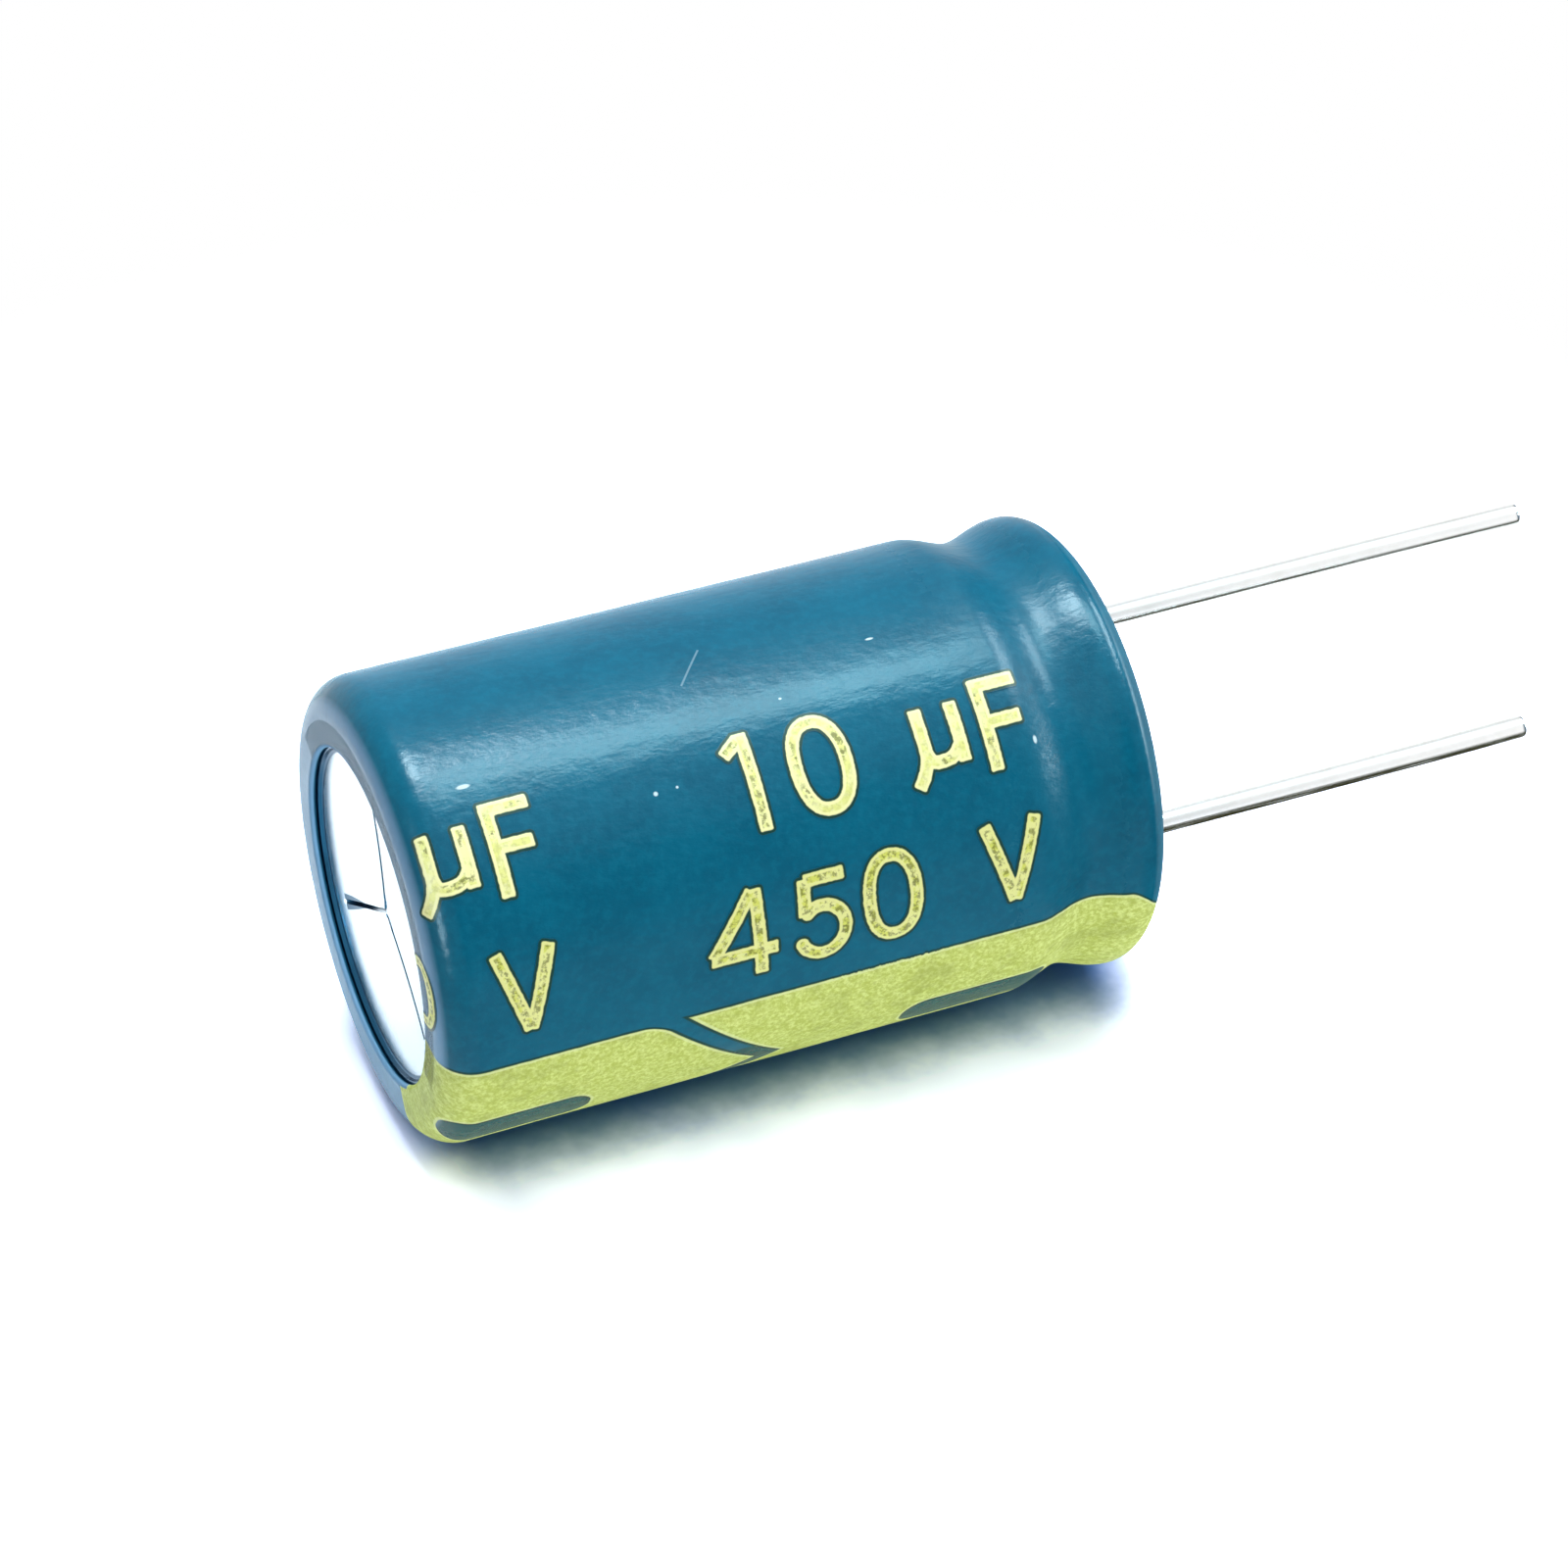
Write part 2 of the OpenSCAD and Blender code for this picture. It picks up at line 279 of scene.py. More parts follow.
class Finish:
    """A procedural material round one Principled shader."""

    def __init__(self, name, **constants):
        self.material = bpy.data.materials.new(name)
        self.material.use_nodes = True
        self.tree = self.material.node_tree
        self.shader = next(n for n in self.tree.nodes if n.type == "BSDF_PRINCIPLED")
        for socket, value in constants.items():
            self.shader.inputs[socket.replace("_", " ")].default_value = value

    def node(self, kind, settings=None, values=None, out=0):
        """Adds one node: its settings first, then the values or links of its sockets."""
        made = self.tree.nodes.new(kind)
        for key, value in (settings or {}).items():
            setattr(made, key, value)
        for key, value in (values or {}).items():
            socket = made.inputs[key]
            if isinstance(value, Reading):
                self.tree.links.new(value.socket, socket)
            elif isinstance(value, tuple) and len(value) == 3 and socket.type == "RGBA":
                socket.default_value = (*value, 1.0)
            else:
                socket.default_value = value
        return Reading(self, made.outputs[out])

    def blend(self, share, first, second):
        """The first colour where share is 0 and the second where it is 1."""
        return self.node("ShaderNodeMix", {"data_type": "RGBA"}, {0: share, 6: first, 7: second}, out=2)

    def place(self):
        """The point on the part in millimetres."""
        spot = self.node("ShaderNodeTexCoord", out=3)
        return self.node("ShaderNodeVectorMath", {"operation": "SCALE"}, {0: spot, "Scale": 1 / MM})

    def scaled(self, spot, x, y, z):
        """A place multiplied by x, y and z, which stretches a pattern where they are small."""
        return self.node("ShaderNodeVectorMath", {"operation": "MULTIPLY"}, {0: spot, 1: (x, y, z)})

    def lay(self):
        """The piece's own laid-out place, as two readings."""
        return self.split(self.node("ShaderNodeUVMap", {"uv_map": "lay"}))[:2]

    def split(self, spot):
        """The three parts of a vector."""
        made = self.tree.nodes.new("ShaderNodeSeparateXYZ")
        self.tree.links.new(spot.socket, made.inputs[0])
        return [Reading(self, made.outputs[i]) for i in range(3)]

    def noise(self, spot, scale, detail, rough):
        return self.node("ShaderNodeTexNoise", {"noise_dimensions": "3D"},
                         {"Vector": spot, "Scale": scale, "Detail": detail, "Roughness": rough})

    def bump(self, height, depth_mm, strength):
        """A normal from a height of 0 to 1 that stands for depth_mm."""
        return self.node("ShaderNodeBump", {}, {"Height": height, "Distance": depth_mm * MM,
                                                "Strength": strength})

    def feed(self, **links):
        """Links readings to the shader's sockets, named with _ for a space, and gives the material."""
        for socket, value in links.items():
            self.tree.links.new(value.socket, self.shader.inputs[socket.replace("_", " ")])
        return self.material


# Layout of the print on the film: round is millimetres round the side from +X, along is the length
# from the vent end
STRIPE_ROUND = 0.654
STRIPE_HALF = 2.487
# Both edges of the arrow gap: place along at the stripe's middle, and slope
CHEVRON = ((6.97, 0.968), (7.57, 0.95))
CHEVRON_SQUARE = 0.7071
CHEVRON_CORNER = 0.3
BARS = (1.62, 11.98)
BAR_HALF_L = 1.68
BAR_HALF_W = 0.63
BAR_CORNER = 0.55

FILM_TEAL = (0.0015, 0.133, 0.225)
FILM_DEEP = (0.001, 0.106, 0.186)
FILM_FLECK = (0.004, 0.175, 0.28)
# Painted shade in the vent end's cut edge, then a painted highlight on its lip
FILM_CUT_SHADE = (0.005, 0.065, 0.12)
FILM_LIP_HIGHLIGHT = (0.24, 0.45, 0.70)
HALO_GREEN = (0.006, 0.05, 0.035)
# Painted shade inside the bars and the arrow gap
WITHIN_SHADE_GREEN = (0.010, 0.070, 0.052)
GOLD = (0.54, 0.63, 0.12)
GOLD_PALE = (0.80, 0.90, 0.31)
GOLD_OLIVE = (0.36, 0.42, 0.08)
GOLD_RIM = (0.88, 0.95, 0.52)
INK_EDGE = (0.001, 0.046, 0.034)
INK_PALE = (1.0, 1.0, 0.50)
INK_CORE = (0.76, 0.80, 0.14)
INK_OLIVE = (0.12, 0.13, 0.015)

# Pale specks: length along, degrees round, and the half sizes along and round in millimetres
SPECKS = ((1.55, -91.4, 0.15, 0.05), (13.42, -68.6, 0.05, 0.09), (8.45, -93.5, 0.035, 0.025),
          (5.28, -78.3, 0.05, 0.05), (5.75, -78.6, 0.03, 0.03), (8.18, -69.5, 0.02, 0.03),
          (10.78, -103.6, 0.09, 0.03))
# A fine scratch from one place to another, both as length along and millimetres round
SCRATCH = ((6.62, -9.03), (7.33, -9.90))
SCRATCH_HALF = 0.03
SCRATCH_PALE = (0.55, 0.80, 0.90)
SPECK_PALE = (0.62, 0.82, 0.88)


def gold_distance(film, spot, off, along):
    """Distance in millimetres to the edge of the gold, positive on it: the stripe less its arrow gap and
    its two bars, from the distance off its middle and the length along. The stripe's edge wobbles, is
    toothed in its middle stretch and draws in at the rim."""
    wobble = (film.noise(spot, 3.0, 2.0, 0.5) - 0.5) * 0.035
    teeth = film.noise(film.scaled(spot, 1.0, 1.0, 9.0), 1.4, 1.0, 0.5)
    serrated = along.rise(8.2, 8.8) * (1 - along.rise(10.6, 11.2)) * (teeth - 0.5) * 0.09
    edge = STRIPE_HALF - off + wobble + serrated - along.rise(15.3, 16.3) * 0.75
    first = (CHEVRON[0][0] - CHEVRON[0][1] * off - along) * CHEVRON_SQUARE
    second = (along - CHEVRON[1][0] + CHEVRON[1][1] * off) * CHEVRON_SQUARE
    inside_x = (CHEVRON_CORNER - edge).most(0.0)
    inside_y = (CHEVRON_CORNER - first).most(0.0)
    rounded = CHEVRON_CORNER - (inside_x * inside_x + inside_y * inside_y).root()
    gold_at = rounded.least(edge).most(second.least(edge))
    for centre in BARS:
        over_w = (off - (BAR_HALF_W - BAR_CORNER)).most(0.0)
        over_l = (abs(along - centre) - (BAR_HALF_L - BAR_CORNER)).most(0.0)
        gold_at = gold_at.least((over_w * over_w + over_l * over_l).root() - BAR_CORNER)
    return gold_at


def gold_paint(film, spot, gold_at, grain, fleck):
    """Yellow-green paint with a pale grain, olive drifts and a pale rim."""
    drift = film.noise(spot, 1.3, 3.0, 0.6)
    rim_share = gold_at.rise(0.0, 0.02) * (1 - gold_at.rise(0.05, 0.09))
    gold = film.blend(grain.rise(0.38, 0.66), GOLD, GOLD_PALE)
    gold = film.blend(drift.rise(0.45, 0.72) * 0.45 + fleck.rise(0.5, 0.75) * 0.2, gold, GOLD_OLIVE)
    return film.blend(rim_share * 0.6, gold, GOLD_RIM)


def speck_share(around, along):
    """1 in the middle of a pale speck and 0 outside, for specks that are ellipses."""
    speck = None
    for length, degrees, half_along, half_round in SPECKS:
        beside = (around - math.radians(degrees) * SLEEVE_R) / half_round
        beyond = (along - length) / half_along
        reach = 1 - (beside * beside + beyond * beyond).root()
        speck = reach if speck is None else speck.most(reach)
    return speck.rise(-0.2, 0.4)


def scratch_share(around, along):
    """1 on the scratch, from the place along its line and the distance beside it, and 0 outside."""
    (from_s, from_w), (to_s, to_w) = SCRATCH
    long = math.hypot(to_s - from_s, to_w - from_w)
    run = ((along - from_s) * (to_s - from_s) + (around - from_w) * (to_w - from_w)) / long
    beside = abs((along - from_s) * (to_w - from_w) - (around - from_w) * (to_s - from_s)) / long
    return (SCRATCH_HALF - beside).least(run).least(long - run).rise(0.0, 0.02)


def film_finish():
    """Glossy teal film with a gold stripe, its bars and its arrow gap as fields of colour, with a painted
    highlight on the vent end's lip and painted shade in its cut edge and inside the bars and the arrow gap.
    """
    film = Finish("film_teal", Specular_IOR_Level=0.12)
    spot = film.place()
    around, along = film.lay()
    off = abs(around - STRIPE_ROUND)
    cloud = film.noise(spot, 0.55, 3.0, 0.6)
    fleck = film.noise(spot, 5.0, 3.0, 0.65)
    grain = film.noise(spot, 9.0, 4.0, 0.75)
    gold_at = gold_distance(film, spot, off, along)
    gold_share = gold_at.rise(-0.012, 0.012)
    halo_share = gold_at.rise(-0.085, -0.05) * (1 - gold_at.rise(-0.005, 0.01))

    teal = film.blend(cloud.rise(0.35, 0.7), FILM_TEAL, FILM_DEEP)
    teal = film.blend(fleck.rise(0.4, 0.7) * 0.35, teal, FILM_FLECK)
    # Painted shade: inside the bars and along the middle of the arrow gap the film is painted darker and
    # greener
    within = (1 - off.rise(0.66, 0.8)) * 0.75
    teal = film.blend(within, teal, WITHIN_SHADE_GREEN)
    colour = film.blend(halo_share * 0.9, teal, HALO_GREEN)
    colour = film.blend(gold_share, colour, gold_paint(film, spot, gold_at, grain, fleck))
    # Painted highlight: the vent end's flat lip is paler, and painted shade makes the inner half of its cut
    # edge dark
    x, y, z = film.split(spot)
    lip = (1 - z.rise(0.02, 0.18)) * (1 - gold_share)
    colour = film.blend(lip * 0.8, colour, FILM_LIP_HIGHLIGHT)
    in_hole = 1 - (x * x + y * y).root().rise(VENT_OPEN_R + 0.04, VENT_OPEN_R + 0.10)
    cut = in_hole * z.rise(0.07, 0.11) * (1 - z.rise(0.3, 0.4))
    colour = film.blend(cut, colour, FILM_CUT_SHADE)
    colour = film.blend(scratch_share(around, along) * 0.25, colour, SCRATCH_PALE)
    colour = film.blend(speck_share(around, along), colour, SPECK_PALE)

    ripple = film.noise(film.scaled(spot, 1.0, 1.0, 0.4), 1.1, 2.0, 0.5)
    peel = film.noise(film.scaled(spot, 1.0, 1.0, 0.6), 4.5, 3.0, 0.6)
    height = ripple * 0.6 + peel * 0.75 + gold_share * 0.1 + grain * gold_share * 0.08
    # The film is a little duller round the groove and dull on the rim
    waist = along.rise(11.8, 13.4) * (1 - along.rise(14.8, 15.4))
    rough = 0.16 + cloud * 0.08 + fleck * 0.08 + gold_share * 0.24
    rough = rough + waist * 0.07 + along.rise(15.8, 15.95) * 0.6
    return film.feed(Base_Color=colour, Roughness=rough, Normal=film.bump(height, 0.03, 0.6))


def ink_finish():
    """Thick pale ink: near-white rim, yellow-green core with olive dashes along the stroke, dark green
    outline. The second row is painted darker and more olive than the first, partly as painted light and
    shade."""
    ink = Finish("print_ink", Specular_IOR_Level=0.2)
    spot = ink.place()
    inward, row = ink.lay()
    blotch = ink.noise(spot, 3.4, 3.0, 0.6)
    dash = ink.noise(spot, 7.5, 3.0, 0.7)
    inward = inward + (ink.noise(spot, 8.0, 2.0, 0.5) - 0.5) * 0.035
    core = inward.rise(0.05, 0.085) * (0.25 + 0.75 * blotch.rise(0.42, 0.58))
    # Partly painted light and shade: the first row, nearer the highlight, has a paler core as if lit, and
    # the second a darker, more olive one as if shaded
    colour = ink.blend((core * (0.60 + row * 0.36)).most(row * 0.4), INK_PALE, INK_CORE)
    patch = ink.noise(spot, 1.6, 2.0, 0.5).rise(0.50, 0.62)
    middle = inward.rise(0.05, 0.09) * dash.rise(0.45, 0.62) * (0.18 + patch * 0.60).most(row * 0.7)
    colour = ink.blend(middle, colour, INK_OLIVE)
    outline = 1 - inward.rise(-0.012, 0.012)
    colour = ink.blend(outline, colour, INK_EDGE)
    faded = 1 - inward.rise(-0.067, -0.052)
    colour = ink.blend(faded, colour, FILM_DEEP)
    rough = 0.32 + blotch * 0.12
    height = inward.rise(-0.02, 0.05) * 0.6 + dash * 0.4
    return ink.feed(Base_Color=colour, Roughness=rough, Normal=ink.bump(height, 0.012, 0.5))


# The can's scored lines: half the angle between two of them, the angle of each, and the colour of the
# painted shade in them
SCORE_SECTOR = math.radians(180.0 / SCORE_COUNT)
SCORE_TURNS = [math.radians(SCORE_TURN) + k * 2 * SCORE_SECTOR for k in range(SCORE_COUNT)]
SCORE_SHADE = (0.015, 0.075, 0.14)


def metal_finish(name, base, dark, rough, brushed=(1.0, 1.0, 1.0), scale=3.0, depth=0.004, scored=False):
    """Metal whose colour and roughness drift, with fine marks stretched by brushed. On the can, painted
    shade darkens its scored lines and the step round its vent panel: distance to the nearest of three rays
    from the axis, or to the step's circle."""
    metal = Finish(name, Metallic=1.0)
    spot = metal.place()
    marks = metal.noise(metal.scaled(spot, *brushed), scale, 4.0, 0.65)
    cloud = metal.noise(spot, scale * 0.25, 3.0, 0.6)
    colour = metal.blend(cloud.rise(0.4, 0.75), base, dark)
    colour = metal.blend(marks.rise(0.55, 0.8) * 0.3, colour, dark)
    if scored:
        x, y, z = metal.split(spot)
        score_shade_at = None
        # Painted shade along each scored line
        for k, turn in enumerate(SCORE_TURNS):
            run = x * math.cos(turn) + y * math.sin(turn)
            beside = abs(y * math.cos(turn) - x * math.sin(turn))
            # The second line's painted shade is fine at the axis and widens outwards
            half = 0.08 if k != 1 else 0.03 + run.rise(1.0, 2.9) * 0.15
            reach = (half - beside).least(run + 0.05).least(SCORE_L + 0.02 - run)
            score_shade_at = reach if score_shade_at is None else score_shade_at.most(reach)
        # Painted shade round the step of the vent panel
        score_shade_at = score_shade_at.most(((x * x + y * y).root() - VENT_R + 0.06) * 0.8)
        share = score_shade_at.rise(-0.01, 0.02) * (1 - z.rise(0.65, 0.7))
        colour = metal.blend(share, colour, SCORE_SHADE)
    return metal.feed(Base_Color=colour, Roughness=marks * 0.14 + rough,
                      Normal=metal.bump(marks, depth, 0.6))


def matt_finish(name, base, dark, rough, scale=2.5, depth=0.01, level=0.4, brushed=(1.0, 1.0, 1.0)):
    """A dull surface of two tones with a fine grain."""
    matt = Finish(name, Specular_IOR_Level=level)
    spot = matt.scaled(matt.place(), *brushed)
    cloud = matt.noise(spot, scale * 0.3, 3.0, 0.6)
    grain = matt.noise(spot, scale * 3.0, 4.0, 0.7)
    colour = matt.blend(cloud.rise(0.35, 0.7), base, dark)
    colour = matt.blend(grain.rise(0.5, 0.8) * 0.5, colour, dark)
    return matt.feed(Base_Color=colour, Roughness=grain * 0.15 + rough,
                     Normal=matt.bump(grain, depth, 0.7))


# The sleeve

WAVE_DEPTH = 0.004


def build_sleeve():
    """The film as one closed skin: outer line, rounded lip, inner line and rounded lip, turned about Z. The
    outer line sinks a little by smooth waves, radius less a depth times sines of the angle and height."""
    columns = 256
    inner = film_line(FIT_GAP)[::-1]
    nose = SLEEVE_T / 2
    top = arc((LEAD_OPEN_R + nose, CAN_TOP + FIT_GAP + nose), nose, 90, 270, 9)[1:-1]
    bottom = arc((VENT_OPEN_R + nose, CAN_Z - FIT_GAP - nose), nose, 90, 270, 9)[1:-1]
    profile = np.concatenate([FILM, top, inner, bottom])
    points = turned(profile, columns)
    angle = np.linspace(-np.pi, np.pi, columns, endpoint=False)[None, :]
    z = FILM[:, 1][:, None]
    hold = np.clip((z - 1.0) / 1.5, 0, 1) * np.clip((15.3 - z) / 1.0, 0, 1)
    waves = np.sin(3 * angle + 0.9 * z) + np.sin(5 * angle - 0.6 * z + 1.0)
    waves = (waves + np.sin(2 * angle + 1.7 * z + 2.0)) / 3
    sink = WAVE_DEPTH * hold * (1 + waves)
    outer = points[:len(FILM)]
    outer[:, :, 0] -= sink * np.cos(angle)
    outer[:, :, 1] -= sink * np.sin(angle)
    along = np.concatenate([FILM_S, FILM_S[-1] + lengths(profile[len(FILM) - 1:])[1:], [0.0]])
    along[-1] = along[-2] + 0.05
    around = SLEEVE_R * np.linspace(-np.pi, np.pi, columns + 1)
    faces = grid_faces(len(profile), columns, True, True)
    sleeve = make_mesh("sleeve_film", points.reshape(-1, 3), faces, grid_uv(around, along))
    sleeve.data.materials.append(film_finish())
    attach(sleeve, BODY)
    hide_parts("sleeve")


# The print: strokes in millimetres, x along the film and y up from the row's base line
STROKE_HALF = 0.142
HALO_W = 0.068
INK_STEP = 0.024
INK_LIFT = 0.004
INK_DEPTH = 0.006
PRINT_SPAN = (-1.05, 13.7)
PRINT_RISE = (-0.3, 2.4)
PRINT_PERIOD = 10.65
LIP_LIMIT = -0.97


def ring(x, y, half_w, half_h, power=2.3, count=48):
    """A closed oval, |x|^p + |y|^p = 1 stretched to its half width and height."""
    angle = np.linspace(0, 2 * np.pi, count + 1)
    c, s = np.cos(angle), np.sin(angle)
    return np.stack([x + half_w * np.sign(c) * np.abs(c) ** (2 / power),
                     y + half_h * np.sign(s) * np.abs(s) ** (2 / power)], axis=1)


def curve(points, count=40):
    """A smooth line through the points: each coordinate is a cubic through its four nearest."""
    p = np.asarray(points, float)
    p = np.concatenate([[2 * p[0] - p[1]], p, [2 * p[-1] - p[-2]]])
    t = np.linspace(0, len(p) - 3 - 1e-9, count)
    i = t.astype(int)
    f = (t - i)[:, None]
    a, b, c, d = p[i], p[i + 1], p[i + 2], p[i + 3]
    square = (2 * a - 5 * b + 4 * c - d) * f ** 2
    cube = (3 * b - a - 3 * c + d) * f ** 3
    return 0.5 * (2 * b + (c - a) * f + square + cube)


# Degrees round the film of each row's base line, then the rows: a capacitance and a voltage
ROW_ONE_DEG = -63.6
ROW_TWO_DEG = -29.2
ROW_ONE = [
    [(7.33, 0.0), (7.33, 2.08)],
    [(6.86, 1.66), (7.28, 1.98)],
    ring(8.80, 1.03, 0.54, 0.92),
    [(11.03, 1.64), (11.03, 0.60)],
    curve([(11.03, 0.66), (10.93, 0.35), (10.70, 0.02)], 4),
    curve([(11.03, 0.70), (11.12, 0.51), (11.34, 0.47), (11.60, 0.53), (11.80, 0.74)], 24),
    [(11.81, 1.64), (11.81, 0.36)],
    [(12.45, 0.0), (12.45, 1.96)],
    [(12.45, 1.82), (13.34, 1.82)],
    [(12.45, 1.02), (13.24, 1.02)],
]
ROW_TWO = [
    [(6.80, 0.0), (6.80, 1.93)],
    [(6.74, 1.90), (5.76, 0.60)],
    [(5.72, 0.56), (7.18, 0.56)],
    [(7.86, 1.80), (8.74, 1.80)],
    [(7.86, 1.84), (7.80, 1.02)],
    curve([(7.82, 1.05), (8.06, 1.19), (8.36, 1.17), (8.60, 0.96), (8.68, 0.66), (8.58, 0.34),
           (8.34, 0.14), (8.04, 0.12), (7.80, 0.26), (7.68, 0.46)], 44),
    ring(9.755, 1.0, 0.52, 0.89),
    [(11.90, 1.95), (12.47, 0.13)],
    [(12.47, 0.13), (13.04, 1.95)],
]


def stroke_distance(x, y, points):
    """Distance to the edge of a stroke, negative inside: the nearest of its straight pieces, each a bar
    with round joints, and with a square end of slightly rounded corners where the line stops."""
    points = np.asarray(points, float)
    closed = np.linalg.norm(points[0] - points[-1]) < 1e-6
    best = np.full(x.shape, 1e3)
    corner = 0.04
    last = len(points) - 2
    for i in range(len(points) - 1):
        a, b = points[i], points[i + 1]
        length = np.linalg.norm(b - a)
        ux, uy = (b - a) / length
        t = (x - a[0]) * ux + (y - a[1]) * uy
        n = (y - a[1]) * ux - (x - a[0]) * uy
        past = np.maximum(-t, t - length)
        round_end = np.hypot(np.maximum(past, 0), n) - STROKE_HALF
        qx, qy = past + corner, np.abs(n) - STROKE_HALF + corner
        square = np.hypot(np.maximum(qx, 0), np.maximum(qy, 0)) + np.minimum(np.maximum(qx, qy), 0) - corner
        open_start = i == 0 and not closed
        open_stop = i == last and not closed
        use_square = (open_start & (t < length / 2)) | (open_stop & (t >= length / 2))
        best = np.minimum(best, np.where(use_square, square, round_end))
    return best


def row_distance(x, y, strokes, shifts):
    """Least distance to any stroke of a row and of its repeats along the film."""
    best = np.full(x.shape, 1e3)
    for shift in shifts:
        for points in strokes:
            points = np.asarray(points, float) + (shift, 0.0)
            low, high = points.min(axis=0) - 0.6, points.max(axis=0) + 0.6
            near = (x > low[0]) & (x < high[0]) & (y > low[1]) & (y < high[1])
            if near.any():
                best[near] = np.minimum(best[near], stroke_distance(x[near], y[near], points))
    return best


def on_film(along, around, lift):
    """A place on the film from its length along and its millimetres round: the film's line at that length,
    moved out along its normal by lift, at the angle around / radius."""
    slope = np.gradient(FILM, FILM_S, axis=0)
    r, z = (np.interp(along, FILM_S, FILM[:, i]) for i in (0, 1))
    dr, dz = (np.interp(along, FILM_S, slope[:, i]) for i in (0, 1))
    size = np.hypot(dr, dz)
    r, z = r + lift * dz / size, z - lift * dr / size
    angle = around / SLEEVE_R
    return np.stack([r * np.cos(angle), r * np.sin(angle), z], axis=-1)


def cut_cells(reach):
    """The cells of a grid whose middle lies inside an outline, where reach is negative, and the points that
    not all of their cells share, which are its border."""
    middle = (reach[:-1, :-1] + reach[1:, :-1] + reach[1:, 1:] + reach[:-1, 1:]) / 4
    cells = middle < 0
    kept = np.zeros(reach.shape, int)
    total = np.zeros(reach.shape, int)
    for di in (0, 1):
        for dj in (0, 1):
            kept[di:di + cells.shape[0], dj:dj + cells.shape[1]] += cells
            total[di:di + cells.shape[0], dj:dj + cells.shape[1]] += 1
    return cells, (kept > 0) & (kept < total)


def plate_faces(cells):
    """Faces of a thin plate on a grid's cells: the front, the back turned round, and a wall along each
    edge that only one cell has. The back's points are numbered after the front's."""
    rows, columns = cells.shape[0] + 1, cells.shape[1] + 1
    flat = rows * columns
    number = np.arange(flat).reshape(rows, columns)
    i, j = np.nonzero(cells)
    front = np.stack([number[i, j], number[i + 1, j], number[i + 1, j + 1], number[i, j + 1]], axis=1)
    edges = np.stack([front, np.roll(front, -1, axis=1)], axis=2).reshape(-1, 2)
    key = edges[:, 0].astype(np.int64) * flat + edges[:, 1]
    back_key = edges[:, 1].astype(np.int64) * flat + edges[:, 0]
    rim = edges[~np.isin(key, back_key)]
    walls = np.stack([rim[:, 1], rim[:, 0], rim[:, 0] + flat, rim[:, 1] + flat], axis=1)
    return np.concatenate([front, front[:, ::-1] + flat, walls])


def build_print(name, strokes, base_deg, shifts, row):
    """A row of marks as a thin plate of ink: the cells of a fine grid that lie inside the outline, with the
    outline's own points moved onto it along the distance's slope, given a depth and wrapped on the film."""
    x = np.arange(*PRINT_SPAN, INK_STEP)
    y = np.arange(*PRINT_RISE, INK_STEP)
    gx, gy = np.meshgrid(x, y, indexing="ij")
    distance = row_distance(gx, gy, strokes, shifts)
    reach = np.maximum(distance - HALO_W, LIP_LIMIT - gx)
    cells, border = cut_cells(reach)
    slope_x, slope_y = np.gradient(reach, INK_STEP)
    size = np.maximum(np.hypot(slope_x, slope_y), 0.5)
    pull = np.clip(reach, -0.9 * INK_STEP, 0.9 * INK_STEP) / size ** 2
    gx = gx - np.where(border, pull * slope_x, 0)
    gy = gy - np.where(border, pull * slope_y, 0)
    inward = np.where(border, -HALO_W, -distance)

    around = math.radians(base_deg) * SLEEVE_R - gy
    outer = on_film(gx, around, INK_LIFT + INK_DEPTH).reshape(-1, 3)
    inner = on_film(gx, around, INK_LIFT).reshape(-1, 3)
    faces = plate_faces(cells)
    points = np.concatenate([outer, inner])
    lay = np.stack([np.tile(inward.ravel(), 2), np.full(2 * gx.size, row)], axis=1)
    ink = make_mesh(name, points, faces, lay[faces], smooth_angle=60.0)
    ink.data.materials.append(INK)
    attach(ink, BODY)


# The can

def dish_height(r):
    """Height of the vent panel's outer face: a shallow bowl that is deepest in the middle."""
    return CAN_Z + VENT_STEP + VENT_DISH * (1 - (r / VENT_R) ** 2)


def score_columns(r):
    """Angles of the can's columns at a radius, crowded round each scored line: asin(offset / r) from its
    middle outwards, then even steps half way to the next."""
    offsets = np.array([0.0, 0.012, 0.03, 0.045, 0.055, 0.075, 0.12, 0.2])
    near = np.arcsin(np.clip(offsets / max(r, 1e-6), 0, 1))
    near = np.minimum(near, SCORE_SECTOR * offsets / 0.4)
    half = np.concatenate([near, near[-1] + (SCORE_SECTOR - near[-1]) * np.linspace(0, 1, 12)[1:]])
    both = np.concatenate([-half[:0:-1], half])[1:]
    return np.concatenate([both + turn for turn in SCORE_TURNS])


def score_depth(x, y):
    """Share of the scores' full depth: each is a V with a narrow floor, (half width - |offset|) / flank
    between 0 and 1, and runs out at its end."""
    depth = np.zeros_like(x)
    for turn in SCORE_TURNS:
        run = x * math.cos(turn) + y * math.sin(turn)
        off = np.abs(y * math.cos(turn) - x * math.sin(turn))
        fade = np.clip((SCORE_L + 0.03 - run) / 0.2, 0, 1)
        across = np.clip((SCORE_HALF_W - off) / SCORE_FLANK, 0, 1)
        depth = np.maximum(depth, across * fade * (run > -0.05))
    return depth


